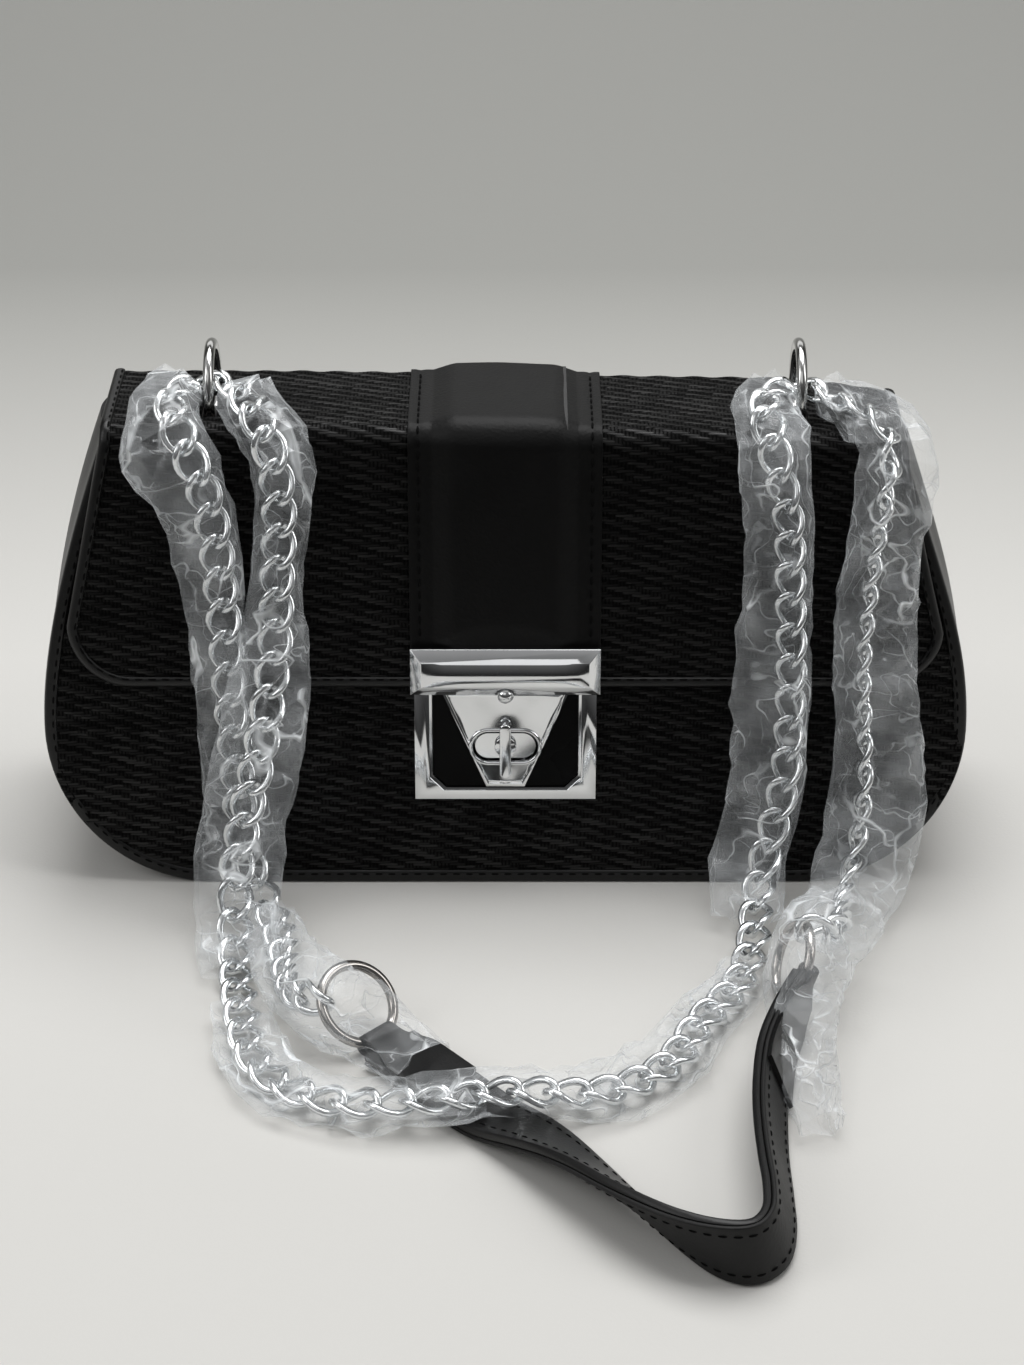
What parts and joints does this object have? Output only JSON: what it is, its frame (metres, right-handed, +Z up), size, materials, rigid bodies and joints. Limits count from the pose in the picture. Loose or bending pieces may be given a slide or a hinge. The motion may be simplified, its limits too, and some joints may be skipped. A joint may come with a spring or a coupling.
{
  "type": "chain shoulder bag",
  "caption": "Black woven flap shoulder bag with a smooth centre band, a turn lock and a curb chain strap that runs through two top rings to a leather shoulder pad.",
  "frame": {"origin": "middle of the base, on the floor it stands on", "axes": "+X across the bag to its right side as seen from the front, -Y towards the viewer of the front, +Z up"},
  "size_m": [0.28, 0.2674, 0.163],
  "materials": {
    "woven_straw": "black straw-like weave with a low sheen",
    "smooth_leather": "smooth black leather, semi-gloss, fine grain",
    "backing_leather": "black leather backing, satin",
    "board": "pressed pulp board",
    "lining_cloth": "dark woven lining",
    "band_foam": "soft foam sheet",
    "lock_metal": "polished silver plating",
    "lock_inlay": "flat black lacquer",
    "fixing_steel": "plain steel",
    "ring_metal": "polished silver plating",
    "pad_ring_metal": "darker nickel plating",
    "chain_metal": "bright silver plating",
    "clear_film": "clear crinkled packing film"
  },
  "bodies": {
    "bag": {"front_panel": "woven_straw", "back_panel": "woven_straw", "gusset": "smooth_leather", "front_binding": "smooth_leather", "back_binding": "smooth_leather", "front_board": "board", "back_board": "board", "base_board": "board", "front_lining": "lining_cloth", "back_lining": "lining_cloth", "gusset_lining": "lining_cloth", "front_facing": "smooth_leather", "back_facing": "smooth_leather", "pocket_panel": "lining_cloth", "ring_tab_left": "smooth_leather", "ring_tab_right": "smooth_leather", "lock_frame": "lock_metal", "lock_inlay": "lock_inlay", "knob_base": "lock_metal", "lock_backing": "fixing_steel", "lock_rivets": "fixing_steel", "chain_left_back": "chain_metal", "chain_left_front": "chain_metal", "chain_floor": "chain_metal", "chain_right_inner": "chain_metal", "chain_right_outer": "chain_metal", "pad_outer": "smooth_leather", "pad_backing": "backing_leather", "pad_tail_left": "smooth_leather", "pad_tail_right": "smooth_leather", "film_left_back": "clear_film", "film_left_front": "clear_film", "film_floor": "clear_film", "film_right_inner": "clear_film", "film_right_outer": "clear_film"},
    "flap": {"flap_outer": "woven_straw", "flap_board": "board", "flap_lining": "lining_cloth", "flap_binding": "smooth_leather", "centre_band": "smooth_leather", "band_padding": "band_foam", "lock_bar": "lock_metal", "lock_tongue": "lock_metal", "slot_rim": "lock_metal", "tongue_rivet": "lock_metal", "bar_screws": "fixing_steel"},
    "knob": {"turn_knob": "lock_metal", "knob_washer": "fixing_steel"},
    "top_ring_left": {"ring_left": "ring_metal"},
    "top_ring_right": {"ring_right": "ring_metal"},
    "strap_ring_left": {"pad_ring_left": "pad_ring_metal"},
    "strap_ring_right": {"pad_ring_right": "pad_ring_metal"}
  },
  "joints": [
    {"name": "flap_hinge", "type": "hinge", "parent": "bag", "child": "flap", "pos_m": [0, 0.0192, 0.1428], "axis": [-1, 0, 0], "range_deg": [0, 135], "deforming": ["chain_left_back", "chain_left_front", "chain_right_inner", "chain_right_outer", "film_left_back", "film_left_front", "film_right_inner", "film_right_outer"]},
    {"name": "knob_turn", "type": "hinge", "parent": "bag", "child": "knob", "pos_m": [0, -0.03276, 0.04675], "axis": [0, -0.9882, 0.1531], "range_deg": [0, 90]},
    {"name": "ring_left_spin", "type": "hinge", "parent": "bag", "child": "top_ring_left", "pos_m": [-0.087, 0.002, 0.149], "axis": [1, 0, 0], "continuous": true},
    {"name": "ring_right_spin", "type": "hinge", "parent": "bag", "child": "top_ring_right", "pos_m": [0.087, 0.002, 0.149], "axis": [1, 0, 0], "continuous": true},
    {"name": "strap_ring_left_spin", "type": "hinge", "parent": "bag", "child": "strap_ring_left", "pos_m": [-0.042, -0.1197, 0.0114], "axis": [0.4912, -0.4912, 0.7193], "continuous": true},
    {"name": "strap_ring_right_spin", "type": "hinge", "parent": "bag", "child": "strap_ring_right", "pos_m": [0.0835, -0.101, 0.013], "axis": [-0.9305, -0.1308, 0.342], "continuous": true}
  ]
}
